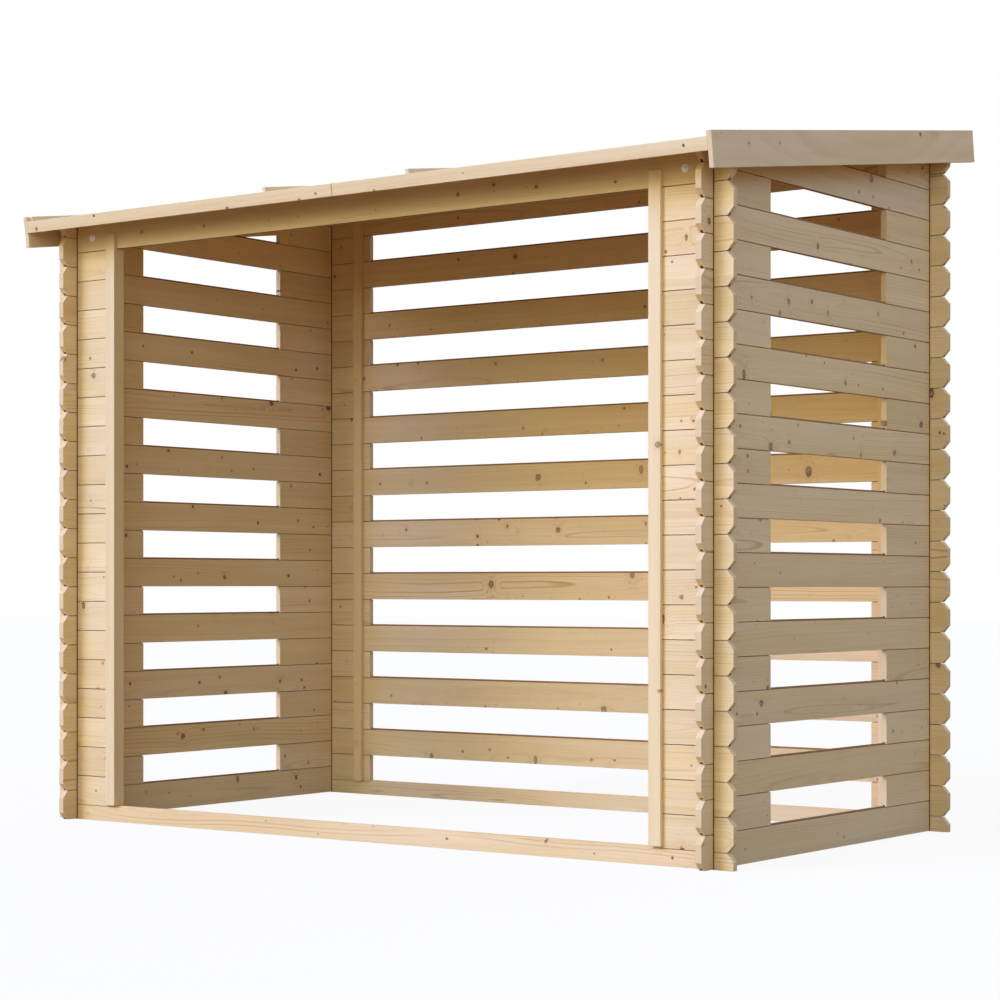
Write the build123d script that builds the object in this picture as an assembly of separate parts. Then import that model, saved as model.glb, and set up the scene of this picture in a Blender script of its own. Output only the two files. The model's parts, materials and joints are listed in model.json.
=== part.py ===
from build123d import *
import math
import os

# Log store: a lean-to roof on walls of notched logs. The front is open between two posts,
# and the sides and back are slatted by leaving out every second log.
# Millimetres, +X to the right, +Y to the back, +Z up. The origin is on the ground, under
# the middle of the roof.

# ---- Logs ----
COURSE = 96.0  # height of one log
LOG_THICKNESS = 19.0
LOG_OVERRUN = 63.0  # log end beyond the wall that it crosses
END_CUT_LENGTH = 20.5  # sloping cuts above and below each log end
END_CUT_HEIGHT = 23.5
TONGUE_WIDTH = 7.0
TONGUE_HEIGHT = 6.0
GROOVE_SIDE_GAP = 0.5  # each side of the tongue
GROOVE_TOP_GAP = 1.0  # above the tongue
NOTCH_GAP = 0.5  # each side of a crossing log

# ---- Walls ----
WALL_WIDTH = 2476.0  # over the outer faces of the side walls
WALL_DEPTH = 1320.0  # over the outer faces of the front and back walls
FRONT_COURSES = 20  # logs above the half-height front sill, header included
BACK_COURSES = 22  # logs above the half-height back sill, top log included
SIDE_BLOCK = 309.0  # short log in a side wall, from the face of the wall that it crosses
BACK_BLOCK = 204.0  # short log in the back wall, from the outer face of the side wall
WEDGE_TIP = 8.0  # height of the sawn wedge at its thin end

# ---- Posts ----
POST_OFFSET = 163.0  # from the outer face of the side wall to the post
POST_WIDTH = 40.0
POST_CHEEK = 12.5  # thickness of a post in front of and behind the logs
POST_WEB = 16.0  # thickness of a post beside the opening
POST_SIDE_GAP = 0.5  # between a cheek and the logs
LOG_END_GAP = 2.0  # between a log end and the web
BATTEN_OFFSET = 135.0  # from the outer face of the side wall to the back batten
BATTEN_WIDTH = 38.0
BATTEN_THICKNESS = 15.0

# ---- Roof, with its heights square to the slope ----
DECK_THICKNESS = 16.0
EAVE_FRONT = 142.0  # along the slope, beyond the front wall
EAVE_BACK = 128.0  # along the slope, beyond the back wall
VERGE = 67.0  # deck beyond the outer face of a side wall
BARGE_THICKNESS = 14.5
BARGE_HEIGHT = 100.0
FASCIA_THICKNESS = 14.5
FASCIA_HEIGHT = 38.0
FASCIA_UPSTAND = 7.0  # fascia above the deck
ROOF_BATTEN_WIDTH = 12.0
ROOF_BATTEN_HEIGHT = 22.0
ROOF_BATTEN_SPREAD = 278.0  # from the middle of the roof to an inner roof batten

# ---- Worked out from these ----
HALF_LOG = COURSE / 2
NOTCH = COURSE / 4
GROOVE_WIDTH = TONGUE_WIDTH + 2 * GROOVE_SIDE_GAP
GROOVE_DEPTH = TONGUE_HEIGHT + GROOVE_TOP_GAP
SPAN = WALL_DEPTH - LOG_THICKNESS
RISE = (BACK_COURSES - FRONT_COURSES) * COURSE
SLOPE = RISE / SPAN
PITCH = math.atan(SLOPE)
BARGE_TOP = DECK_THICKNESS + ROOF_BATTEN_HEIGHT

# The walls stand this far behind the middle of the roof, from its front top corner to
# its back bottom corner.
EAVE_SHIFT = (EAVE_FRONT - EAVE_BACK) / 2 * math.cos(PITCH)
LEAN_SHIFT = (BARGE_TOP - BARGE_HEIGHT / 2) * math.sin(PITCH)
FRONT_FACE = EAVE_SHIFT + LEAN_SHIFT - WALL_DEPTH / 2
BACK_FACE = FRONT_FACE + WALL_DEPTH
FRONT_LINE = FRONT_FACE + LOG_THICKNESS / 2
BACK_LINE = BACK_FACE - LOG_THICKNESS / 2
SIDE_FACE = WALL_WIDTH / 2
SIDE_LINE = SIDE_FACE - LOG_THICKNESS / 2

HEADER_TOP = (FRONT_COURSES + 0.5) * COURSE
HEADER_UNDERSIDE = HEADER_TOP - COURSE
# The deck lies on the inner top edge of the front wall and the outer one of the back wall.
ROOF = Pos(0, FRONT_FACE + LOG_THICKNESS, HEADER_TOP) * Rot(math.degrees(PITCH), 0, 0)
DECK_FRONT = -LOG_THICKNESS / math.cos(PITCH) - EAVE_FRONT
DECK_BACK = SPAN / math.cos(PITCH) + EAVE_BACK
DECK_SIDE = SIDE_FACE + VERGE
OVERCUT = 50.0  # how far a cutting block reaches past what it cuts


def block(x, y, z):
    """Block that fills a (low, high) range along each axis."""
    ranges = (x, y, z)
    centre = [(low + high) / 2 for low, high in ranges]
    size = [high - low for low, high in ranges]
    return Pos(*centre) * Box(*size)


def middle(width):
    """Range of a width that lies centred on zero."""
    return (-width / 2, width / 2)


def mirrored(x):
    """The same range on the other side of the middle plane."""
    return (-x[1], -x[0])


def log_edge(start, end, level, inward, cut_start, cut_end, crossings):
    """Points along the top or bottom edge of a log, with its end cuts and notches."""
    cut_level = level + inward * END_CUT_HEIGHT
    points = [(start, level)]
    if cut_start:
        points = [(start, cut_level), (start + END_CUT_LENGTH, level)]
    for line in crossings:
        low = line - LOG_THICKNESS / 2 - NOTCH_GAP
        high = line + LOG_THICKNESS / 2 + NOTCH_GAP
        notch_level = level + inward * NOTCH
        points += [(low, level), (low, notch_level), (high, notch_level), (high, level)]
    if cut_end:
        return points + [(end - END_CUT_LENGTH, level), (end, cut_level)]
    return points + [(end, level)]


def log(start, end, cut_start=False, cut_end=False, crossings=(), half=False):
    """Log along X that stands on z = 0, or the upper half of one, which is a sill."""
    height = HALF_LOG if half else COURSE
    top = log_edge(start, end, height, -1, cut_start, cut_end, crossings)
    bottom = [(start, 0), (end, 0)]
    if not half:
        bottom = log_edge(start, end, 0, 1, cut_start, cut_end, crossings)
    outline = Plane.XZ * Polygon(*top, *reversed(bottom), align=None)
    solid = extrude(outline, amount=LOG_THICKNESS / 2, both=True)
    for (x0, z0), (x1, z1) in zip(top, top[1:]):
        if z0 == z1 == height:
            crest = (height, height + TONGUE_HEIGHT)
            solid += block((x0, x1), middle(TONGUE_WIDTH), crest)
    if not half:
        groove = (start - OVERCUT, end + OVERCUT)
        solid -= block(groove, middle(GROOVE_WIDTH), (-OVERCUT, GROOVE_DEPTH))
    return solid


def across(piece, wall_line, bottom):
    """Put a log in the front or back wall."""
    return Pos(0, wall_line, bottom) * piece


def along(piece, wall_line, bottom):
    """Put a log in a side wall, where its own X runs to the back."""
    return Pos(wall_line, 0, bottom) * Rot(0, 0, 90) * piece


def across_level(course):
    """Underside of a log in the front or back wall, which is half a log up."""
    return (course - 0.5) * COURSE


def along_level(course):
    """Underside of a log in a side wall."""
    return (course - 1) * COURSE


def under_roof(piece):
    """Cut a piece off at the underside of the deck."""
    reach = WALL_DEPTH + WALL_WIDTH
    return piece - ROOF * block(middle(2 * reach), middle(2 * reach), (0, reach))


def save(name, *solids):
    """Write one sub-part, whose solids don't touch each other."""
    export_step(Compound(children=list(solids)), f"parts/{name}.step")


os.makedirs("parts", exist_ok=True)

# ---- Front wall: sill, short logs, header and the two slotted posts ----
WALL_ENDS = (-SIDE_FACE - LOG_OVERRUN, SIDE_FACE + LOG_OVERRUN)
SIDE_LINES = (-SIDE_LINE, SIDE_LINE)
sill = log(*WALL_ENDS, True, True, SIDE_LINES, half=True)
wide_log = log(*WALL_ENDS, True, True, SIDE_LINES)
save("front_sill", across(sill, FRONT_LINE, 0))
save("front_header", under_roof(across(wide_log, FRONT_LINE, HEADER_UNDERSIDE)))

POST_OUTER = SIDE_FACE - POST_OFFSET
POST_INNER = POST_OUTER - POST_WIDTH
SHORT_LOG_END = POST_INNER + POST_WEB + LOG_END_GAP
short_logs = {
    "left": log(WALL_ENDS[0], -SHORT_LOG_END, cut_start=True, crossings=SIDE_LINES[:1]),
    "right": log(SHORT_LOG_END, WALL_ENDS[1], cut_end=True, crossings=SIDE_LINES[1:]),
}
for side, short_log in short_logs.items():
    for name, first in (("odd", 1), ("even", 2)):
        courses = range(first, FRONT_COURSES, 2)
        logs = [across(short_log, FRONT_LINE, across_level(course)) for course in courses]
        save(f"front_{side}_logs_{name}", *logs)

post_foot = HALF_LOG + TONGUE_HEIGHT
post_top = HEADER_UNDERSIDE + HALF_LOG
slot = middle(LOG_THICKNESS + 2 * POST_SIDE_GAP)
post = block(
    (POST_INNER, POST_OUTER), middle(slot[1] - slot[0] + 2 * POST_CHEEK), (post_foot, post_top)
)
post -= block((POST_INNER + POST_WEB, POST_OUTER + OVERCUT), slot, (0, post_top + OVERCUT))
post -= block(
    (POST_INNER - OVERCUT, POST_OUTER), slot, (HEADER_UNDERSIDE, post_top + OVERCUT)
)
right_post = Pos(0, FRONT_LINE, 0) * post
save("right_post", right_post)
save("left_post", mirror(right_post, about=Plane.YZ))

# ---- Back wall: sill, full rails, short logs between them, top log and battens ----
save("back_sill", across(sill, BACK_LINE, 0))
rail_courses = range(2, BACK_COURSES, 2)
rails = [across(wide_log, BACK_LINE, across_level(course)) for course in rail_courses]
save("back_rails", *rails)
top_log = across(wide_log, BACK_LINE, across_level(BACK_COURSES))
save("back_top_log", under_roof(top_log))

BACK_BLOCK_END = SIDE_FACE - BACK_BLOCK
back_blocks = {
    "left": log(WALL_ENDS[0], -BACK_BLOCK_END, cut_start=True, crossings=SIDE_LINES[:1]),
    "right": log(BACK_BLOCK_END, WALL_ENDS[1], cut_end=True, crossings=SIDE_LINES[1:]),
}
for side, back_block in back_blocks.items():
    courses = range(1, BACK_COURSES, 2)
    blocks = [across(back_block, BACK_LINE, across_level(course)) for course in courses]
    save(f"back_{side}_blocks", *blocks)

batten_inner_face = BACK_FACE - LOG_THICKNESS - BATTEN_THICKNESS
batten_outer_edge = SIDE_FACE - BATTEN_OFFSET
batten_x = (batten_outer_edge - BATTEN_WIDTH, batten_outer_edge)
batten_y = (batten_inner_face, BACK_FACE - LOG_THICKNESS)
batten_z = (HALF_LOG, across_level(BACK_COURSES) + HALF_LOG)
save("back_right_batten", block(batten_x, batten_y, batten_z))
save("back_left_batten", block(mirrored(batten_x), batten_y, batten_z))

# ---- Side walls: full rails, short logs between them and the sawn wedge at the top ----
DEPTH_ENDS = (FRONT_FACE - LOG_OVERRUN, BACK_FACE + LOG_OVERRUN)
END_LINES = (FRONT_LINE, BACK_LINE)
FRONT_BLOCK_END = FRONT_FACE + SIDE_BLOCK
BACK_BLOCK_START = BACK_FACE - SIDE_BLOCK
deep_log = log(*DEPTH_ENDS, True, True, END_LINES)
front_block = log(DEPTH_ENDS[0], FRONT_BLOCK_END, cut_start=True, crossings=END_LINES[:1])
back_block = log(BACK_BLOCK_START, DEPTH_ENDS[1], cut_end=True, crossings=END_LINES[1:])

# The wedge starts where the roof is WEDGE_TIP above the log below it.
wedge_level = along_level(BACK_COURSES + 1)
rise_to_tip = wedge_level + WEDGE_TIP - HEADER_TOP
wedge_start = max(BACK_BLOCK_START, FRONT_FACE + LOG_THICKNESS + rise_to_tip / SLOPE)
wedge = log(wedge_start, DEPTH_ENDS[1], cut_end=True, crossings=END_LINES[1:])

for side, wall_line in (("left", -SIDE_LINE), ("right", SIDE_LINE)):
    courses = range(1, BACK_COURSES, 2)
    rails = [along(deep_log, wall_line, along_level(course)) for course in courses]
    save(f"{side}_rails", *[under_roof(rail) for rail in rails])
    courses = range(2, FRONT_COURSES + 1, 2)
    blocks = [along(front_block, wall_line, along_level(course)) for course in courses]
    save(f"{side}_front_blocks", *blocks)
    courses = range(2, BACK_COURSES + 1, 2)
    blocks = [along(back_block, wall_line, along_level(course)) for course in courses]
    save(f"{side}_back_blocks", *[under_roof(piece) for piece in blocks])
    save(f"{side}_top_wedge", under_roof(along(wedge, wall_line, wedge_level)))

# ---- Roof ----
board_run = (DECK_FRONT + FASCIA_THICKNESS, DECK_BACK - FASCIA_THICKNESS)
save("roof_deck", ROOF * block((-DECK_SIDE, DECK_SIDE), board_run, (0, DECK_THICKNESS)))

fascia_top = DECK_THICKNESS + FASCIA_UPSTAND
fascia_rise = (fascia_top - FASCIA_HEIGHT, fascia_top)
fascia_runs = {"front": (DECK_FRONT, board_run[0]), "back": (board_run[1], DECK_BACK)}
for end, run in fascia_runs.items():
    save(f"{end}_fascia_left", ROOF * block((-DECK_SIDE, 0), run, fascia_rise))
    save(f"{end}_fascia_right", ROOF * block((0, DECK_SIDE), run, fascia_rise))

barge_x = (DECK_SIDE, DECK_SIDE + BARGE_THICKNESS)
barge_rise = (BARGE_TOP - BARGE_HEIGHT, BARGE_TOP)
for side, x in (("left", mirrored(barge_x)), ("right", barge_x)):
    save(f"{side}_barge_board", ROOF * block(x, (DECK_FRONT, DECK_BACK), barge_rise))

outer_batten = DECK_SIDE - ROOF_BATTEN_WIDTH / 2
batten_lines = {
    "left": -outer_batten,
    "mid_left": -ROOF_BATTEN_SPREAD,
    "mid_right": ROOF_BATTEN_SPREAD,
    "right": outer_batten,
}
batten_rise = (DECK_THICKNESS, BARGE_TOP)
for name, line in batten_lines.items():
    x = (line - ROOF_BATTEN_WIDTH / 2, line + ROOF_BATTEN_WIDTH / 2)
    save(f"{name}_roof_batten", ROOF * block(x, board_run, batten_rise))
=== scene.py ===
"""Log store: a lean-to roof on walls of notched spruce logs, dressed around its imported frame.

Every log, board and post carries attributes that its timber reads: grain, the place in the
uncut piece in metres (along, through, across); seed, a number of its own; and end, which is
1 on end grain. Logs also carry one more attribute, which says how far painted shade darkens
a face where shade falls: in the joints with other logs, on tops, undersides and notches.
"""

import json
import math
from itertools import product

import bmesh
import bpy
from bpy.props import FloatProperty, FloatVectorProperty, IntProperty, PointerProperty
from mathutils import Matrix, Vector


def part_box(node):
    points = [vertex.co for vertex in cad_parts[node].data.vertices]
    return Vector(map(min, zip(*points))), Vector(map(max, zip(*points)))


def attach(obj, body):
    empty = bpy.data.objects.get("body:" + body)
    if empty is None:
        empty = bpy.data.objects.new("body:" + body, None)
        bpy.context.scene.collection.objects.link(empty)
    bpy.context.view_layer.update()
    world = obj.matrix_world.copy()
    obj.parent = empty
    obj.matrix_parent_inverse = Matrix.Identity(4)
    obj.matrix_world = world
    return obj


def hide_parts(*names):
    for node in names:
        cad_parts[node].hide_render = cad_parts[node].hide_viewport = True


bl_info = {
    "name": "Log store",
    "version": (1, 0, 0),
    "blender": (4, 5, 0),
    "location": "3D View > Sidebar > Log store",
    "description": "Builds a slatted log store of notched logs with a lean-to roof",
    "category": "Add Mesh",
}

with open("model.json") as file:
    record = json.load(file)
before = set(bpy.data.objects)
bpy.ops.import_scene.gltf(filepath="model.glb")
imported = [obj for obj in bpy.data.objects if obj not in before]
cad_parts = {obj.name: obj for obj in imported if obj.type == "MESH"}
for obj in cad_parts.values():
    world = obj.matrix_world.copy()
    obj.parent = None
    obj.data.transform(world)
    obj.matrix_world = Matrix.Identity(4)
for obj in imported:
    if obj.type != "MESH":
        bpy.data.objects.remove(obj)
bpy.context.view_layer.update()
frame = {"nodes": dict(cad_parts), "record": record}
FRONT_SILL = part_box("front_sill")
BACK_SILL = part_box("back_sill")
LEFT_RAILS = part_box("left_rails")
RIGHT_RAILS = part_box("right_rails")
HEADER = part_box("front_header")
X, Y, Z = range(3)


# ---- Sizes and colours that a user would change ----


class LogSizes(bpy.types.PropertyGroup):
    """Section and ends of a log."""

    course: FloatProperty(
        name="Course", description="Height of one log", default=0.096, unit="LENGTH"
    )
    tongue_width: FloatProperty(
        name="Tongue width", description="Width of the tongue on top", default=0.007,
        unit="LENGTH",
    )
    tongue_height: FloatProperty(
        name="Tongue height", description="Height of the tongue on top", default=0.006,
        unit="LENGTH",
    )
    groove_gap: FloatProperty(
        name="Groove gap", description="Room between tongue and groove", default=0.0005,
        unit="LENGTH",
    )
    notch_gap: FloatProperty(
        name="Notch gap", description="Room beside a crossing log", default=0.0026,
        unit="LENGTH",
    )
    cut_length: FloatProperty(
        name="End cut length", description="Length of the sloping end cuts",
        default=0.0205, unit="LENGTH",
    )
    cut_height: FloatProperty(
        name="End cut height", description="Height of the sloping end cuts",
        default=0.0235, unit="LENGTH",
    )
    joint_bevel: FloatProperty(
        name="Joint bevel", description="Bevel along the long edges", default=0.0008,
        unit="LENGTH",
    )
    joint_gap: FloatProperty(
        name="Joint gap", description="Gap that dry logs leave between courses",
        default=0.0021, unit="LENGTH",
    )
    tongue_inset: FloatProperty(
        name="Tongue inset", description="Length without a tongue behind an end cut",
        default=0.012, unit="LENGTH",
    )


class WallSizes(bpy.types.PropertyGroup):
    """How the logs make walls."""

    front_courses: IntProperty(
        name="Front courses", description="Logs above the front sill", default=20
    )
    back_courses: IntProperty(
        name="Back courses", description="Logs above the back sill", default=22
    )
    post_web: FloatProperty(
        name="Post web", description="Thickness of a post beside the opening",
        default=0.016, unit="LENGTH",
    )
    post_slot: FloatProperty(
        name="Post slot", description="Width of the slot that takes the logs",
        default=0.020, unit="LENGTH",
    )


class RoofSizes(bpy.types.PropertyGroup):
    """Boards of the roof."""

    board_count: IntProperty(
        name="Boards", description="Boards across the roof", default=29
    )
    board_bevel: FloatProperty(
        name="Board bevel", description="Bevel along the edges of a roof board",
        default=0.002, unit="LENGTH",
    )
    eased_edge: FloatProperty(
        name="Eased edge", description="Rounding on trim, posts and battens",
        default=0.0012, unit="LENGTH",
    )
    butt_gap: FloatProperty(
        name="Butt gap", description="Gap between the two halves of a fascia",
        default=0.0024, unit="LENGTH",
    )


class FixingSizes(bpy.types.PropertyGroup):
    """Bolts, screws and nails."""

    inset: FloatProperty(
        name="Inset", description="From the side walls in to the bolts", default=0.091,
        unit="LENGTH",
    )
    bolt_drop: FloatProperty(
        name="Bolt drop", description="How far the bolts sit below the header's middle",
        default=0.003, unit="LENGTH",
    )
    washer: FloatProperty(
        name="Washer", description="Radius of a washer under a bolt's nut", default=0.012,
        unit="LENGTH",
    )
    nut: FloatProperty(
        name="Nut", description="Radius of a nut over its corners", default=0.0075,
        unit="LENGTH",
    )
    rod: FloatProperty(
        name="Rod", description="Radius of a bolt", default=0.004, unit="LENGTH"
    )
    first_screw: FloatProperty(
        name="First screw", description="From the middle to the fascia's left screw",
        default=-0.995, unit="LENGTH",
    )
    last_screw: FloatProperty(
        name="Last screw", description="From the middle to the fascia's right screw",
        default=1.230, unit="LENGTH",
    )
    screw_head: FloatProperty(
        name="Screw head", description="Radius of a screw's head", default=0.0045,
        unit="LENGTH",
    )
    nail_head: FloatProperty(
        name="Nail head", description="Radius of a nail's head", default=0.0028,
        unit="LENGTH",
    )


class TimberColours(bpy.types.PropertyGroup):
    """Colours of planed spruce."""

    pale: FloatVectorProperty(
        name="Sapwood", description="Pale wood between the rings", subtype="COLOR",
        default=(0.87, 0.667, 0.41),
    )
    honey: FloatVectorProperty(
        name="Honey", description="Yellower wood that drifts through a log",
        subtype="COLOR", default=(0.80, 0.585, 0.30),
    )
    late: FloatVectorProperty(
        name="Late wood", description="Thin dark part of a growth ring",
        subtype="COLOR", default=(0.50, 0.29, 0.13),
    )
    heart: FloatVectorProperty(
        name="Heartwood", description="Redder streaks", subtype="COLOR",
        default=(0.74, 0.46, 0.24),
    )
    knot: FloatVectorProperty(
        name="Knot", description="Middle of a knot", subtype="COLOR",
        default=(0.125, 0.048, 0.034),
    )
    end_grain: FloatVectorProperty(
        name="End grain", description="Sawn ends", subtype="COLOR",
        default=(0.75, 0.55, 0.32),
    )
    # Painted shade: the dark colour that faces in the joints, on log tops and undersides and in
    # notches are blended towards, standing in for the shade that falls there.
    joint_shade: FloatVectorProperty(
        name="Joint", description="Dim wood inside the joints between logs",
        subtype="COLOR", default=(0.24, 0.088, 0.024),
    )


class StageSettings(bpy.types.PropertyGroup):
    """Camera, floor and light."""

    camera_place: FloatVectorProperty(
        name="Camera place", description="Where the camera stands", subtype="TRANSLATION",
        default=(4.7186, -6.3719, 0.7789),
    )
    camera_turn: FloatProperty(
        name="Camera turn", description="Turn from looking straight to the back",
        subtype="ANGLE", default=math.radians(36.307),
    )
    lens: FloatProperty(
        name="Lens", description="Focal length", default=88.32, unit="CAMERA"
    )
    rise: FloatProperty(
        name="Rise", description="Vertical shift of the lens", default=0.0835
    )
    floor: FloatVectorProperty(
        name="Floor", description="Colour of the floor", subtype="COLOR",
        default=(0.82, 0.82, 0.81),
    )
    bounce: FloatVectorProperty(
        name="Bounce", description="Dim warm colour that the floor throws back",
        subtype="COLOR", default=(0.290, 0.180, 0.082),
    )
    brightness: FloatProperty(
        name="Brightness", description="Strength of all the light", default=22.0
    )
    key_light: FloatVectorProperty(
        name="Key light", description="Golden light from the front", subtype="COLOR",
        default=(0.385, 0.328, 0.085),
    )
    sky_light: FloatVectorProperty(
        name="Sky light", description="Blue light above the golden one", subtype="COLOR",
        default=(0.135, 0.302, 0.98),
    )
    low_light: FloatVectorProperty(
        name="Low light", description="Light near the floor", subtype="COLOR",
        default=(0.083, 0.111, 0.134),
    )
    side_light: FloatVectorProperty(
        name="Side light", description="Cool light from the right", subtype="COLOR",
        default=(0.0, 0.057, 0.220),
    )
    back_light: FloatVectorProperty(
        name="Back light", description="Gentle light from behind", subtype="COLOR",
        default=(0.150, 0.185, 0.270),
    )
    even_light: FloatVectorProperty(
        name="Even light", description="Faint light from all sides", subtype="COLOR",
        default=(0.0185, 0.0145, 0.0032),
    )


class LogStoreSettings(bpy.types.PropertyGroup):
    """Everything that a user would change."""

    logs: PointerProperty(type=LogSizes)
    walls: PointerProperty(type=WallSizes)
    roof: PointerProperty(type=RoofSizes)
    fixings: PointerProperty(type=FixingSizes)
    timber: PointerProperty(type=TimberColours)
    stage: PointerProperty(type=StageSettings)


def settings():
    """The sizes and colours of the open scene."""
    return bpy.context.scene.log_store


# Painted shade on the faces of a log where they meet others and on its open top and underside,
# standing in for the shade there: 0 is open wood and 1 the darkest.
NOTCH_SHADE = 0.9
TONGUE_SHADE = 0.85
UNDERSIDE_SHADE = 0.5
TOP_SHADE = 0.28
SILL_TOP_SHADE = 0.1


# ---- Timber ----


class Wire:
    """A shader socket as a number: each operator adds the Math node that it stands for."""

    def __init__(self, tree, socket):
        self.tree = tree
        self.socket = socket

    def other(self, output):
        """Another output of the same node."""
        return Wire(self.tree, self.socket.node.outputs[output])

    def math(self, operation, *values):
        """A Math node on these values."""
        return self.tree.add(
            "ShaderNodeMath", {"operation": operation}, dict(enumerate(values))
        )

    def __add__(self, other):
        return self.math("ADD", self, other)

    def __radd__(self, other):
        return self.math("ADD", other, self)

    def __sub__(self, other):
        return self.math("SUBTRACT", self, other)

    def __rsub__(self, other):
        return self.math("SUBTRACT", other, self)

    def __mul__(self, other):
        return self.math("MULTIPLY", self, other)

    def __rmul__(self, other):
        return self.math("MULTIPLY", other, self)

    def __truediv__(self, other):
        return self.math("DIVIDE", self, other)

    def __pow__(self, other):
        return self.math("POWER", self, other)


class ShaderTree:
    """The nodes of a material or world and the one way in which they are added."""

    def __init__(self, block):
        block.use_nodes = True
        self.block = block
        self.nodes = block.node_tree.nodes
        self.links = block.node_tree.links
        self.nodes.clear()

    def add(self, kind, options=None, inputs=None, output=0):
        """Add a node, set its options, then its sockets, and give one of its outputs."""
        node = self.nodes.new(kind)
        for name, value in (options or {}).items():
            setattr(node, name, value)
        for name, value in (inputs or {}).items():
            if isinstance(value, Wire):
                self.links.new(value.socket, node.inputs[name])
            else:
                node.inputs[name].default_value = value
        return Wire(self, node.outputs[output] if node.outputs else None)

    def attribute(self, name, output):
        """An attribute of the mesh."""
        return self.add("ShaderNodeAttribute", {"attribute_name": name}, output=output)

    def parts(self, vector):
        """The three numbers of a vector or colour."""
        first = self.add("ShaderNodeSeparateXYZ", inputs={0: vector})
        return first, first.other(1), first.other(2)

    def vector(self, x, y, z):
        """Three numbers as one vector or colour."""
        return self.add("ShaderNodeCombineXYZ", inputs={0: x, 1: y, 2: z})

    def step(self, value, low, high):
        """0 below low, 1 above high and smooth between, or the other way round."""
        turned = low > high
        inputs = {"Value": value, "From Min": min(low, high), "From Max": max(low, high)}
        if turned:
            inputs.update({"To Min": 1.0, "To Max": 0.0})
        return self.add(
            "ShaderNodeMapRange", {"interpolation_type": "SMOOTHSTEP"}, inputs
        )

    def noise(self, vector, detail):
        """Noise from 0 to 1 on a vector that is already scaled."""
        inputs = {"Vector": vector, "Scale": 1.0, "Detail": detail, "Roughness": 0.5}
        return self.add("ShaderNodeTexNoise", {"normalize": True}, inputs)

    def blend(self, factor, first, second, how="MIX"):
        """Mix two colours."""
        options = {"data_type": "RGBA", "blend_type": how, "clamp_factor": True}
        return self.add(
            "ShaderNodeMix", options, {0: factor, 6: first, 7: second}, output=2
        )

    def finish(self, looks, height, strength, depth):
        """Close a material: a Principled BSDF with these looks and a bump of this height."""
        bump = {"Strength": strength, "Distance": depth, "Height": height}
        normal = self.add("ShaderNodeBump", inputs=bump, output="Normal")
        shader = self.add("ShaderNodeBsdfPrincipled", inputs={**looks, "Normal": normal})
        self.add("ShaderNodeOutputMaterial", inputs={"Surface": shader})
        return self.block


def opaque(colour):
    """A colour with an alpha of 1."""
    return (*colour, 1.0)


def knot_field(tree, x, z, luck, per_metre, radius, chance, stretch=0.0):
    """Knots through the piece: distance to the nearest in radii, and how dark it is.

    per_metre is how many places for a knot lie in a metre, and chance the share of them
    that have one. Most are small, and a few are drawn out across the grain by up to the
    stretch. The darkness is 0 where there is no knot, and else from 1 - fade to 1.
    """
    shift_x, shift_z = 31.0, 17.0
    fade = 0.22
    spot = tree.vector(
        x * per_metre + luck * shift_x, z * per_metre + luck * shift_z, 0.0
    )
    nearest = tree.add(
        "ShaderNodeTexVoronoi", {"voronoi_dimensions": "2D", "feature": "F1"},
        {"Vector": spot, "Scale": 1.0, "Randomness": 0.9}, output="Position",
    )
    away = tree.add(
        "ShaderNodeVectorMath", {"operation": "SUBTRACT"}, {0: spot, 1: nearest}
    )
    along, across, _ = tree.parts(away)
    size_draw, chance_draw, shape_draw = tree.parts(nearest.other("Color"))
    across = across / (tree.step(shape_draw, 0.70, 1.0) * stretch + 1.0)
    reach = (size_draw * size_draw * 1.1 + 0.5) * (radius * per_metre)
    there = chance_draw.math("LESS_THAN", chance_draw, chance)
    dark = there * (1.0 - chance_draw * (fade / chance))
    return (along * along + across * across) ** 0.5 / reach, dark


class Grain:
    """Where a spot lies in its uncut piece of wood, and the draws of that piece."""

    def __init__(self, tree):
        self.tree = tree
        x, self.y, self.z = tree.parts(tree.attribute("grain", "Vector"))
        draws = tree.add(
            "ShaderNodeTexWhiteNoise", {"noise_dimensions": "1D"},
            {"W": tree.attribute("seed", "Fac")}, output="Color",
        )
        self.luck = tree.parts(draws)
        apart = 40.0
        self.run = x + self.luck[0] * apart

    def patches(self, along, through, across, detail, shift=None):
        """Noise with about this many patches in a metre each way of the grain."""
        side = self.z * across
        if shift is not None:
            side = side + shift
        place = self.tree.vector(self.run * along, self.y * through, side)
        return self.tree.noise(place, detail)

    def drawn(self, value, luck, row):
        """Noise along one value, with a draw of its own for each piece."""
        return self.tree.noise(self.tree.vector(value, luck, row), detail=1.0)


def spruce_knots(tree, grain, share):
    """Big knots and pin knots, each as distance and darkness, and the noise on their edges."""
    _, luck_b, luck_c = grain.luck
    ragged = grain.patches(170.0, 60.0, 170.0, detail=2.0) - 0.5
    big, big_dark = knot_field(
        tree, grain.run, grain.z, luck_b, per_metre=6.5, radius=0.0078, chance=share,
        stretch=1.0,
    )
    pin, pin_dark = knot_field(
        tree, grain.run, grain.z, luck_c, per_metre=9.0, radius=0.0044, chance=share * 1.2
    )
    big = big * (1.0 + ragged * 1.1)
    pin = pin * (1.0 + ragged * 0.7)
    return big, big_dark, pin, pin_dark, ragged


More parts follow.
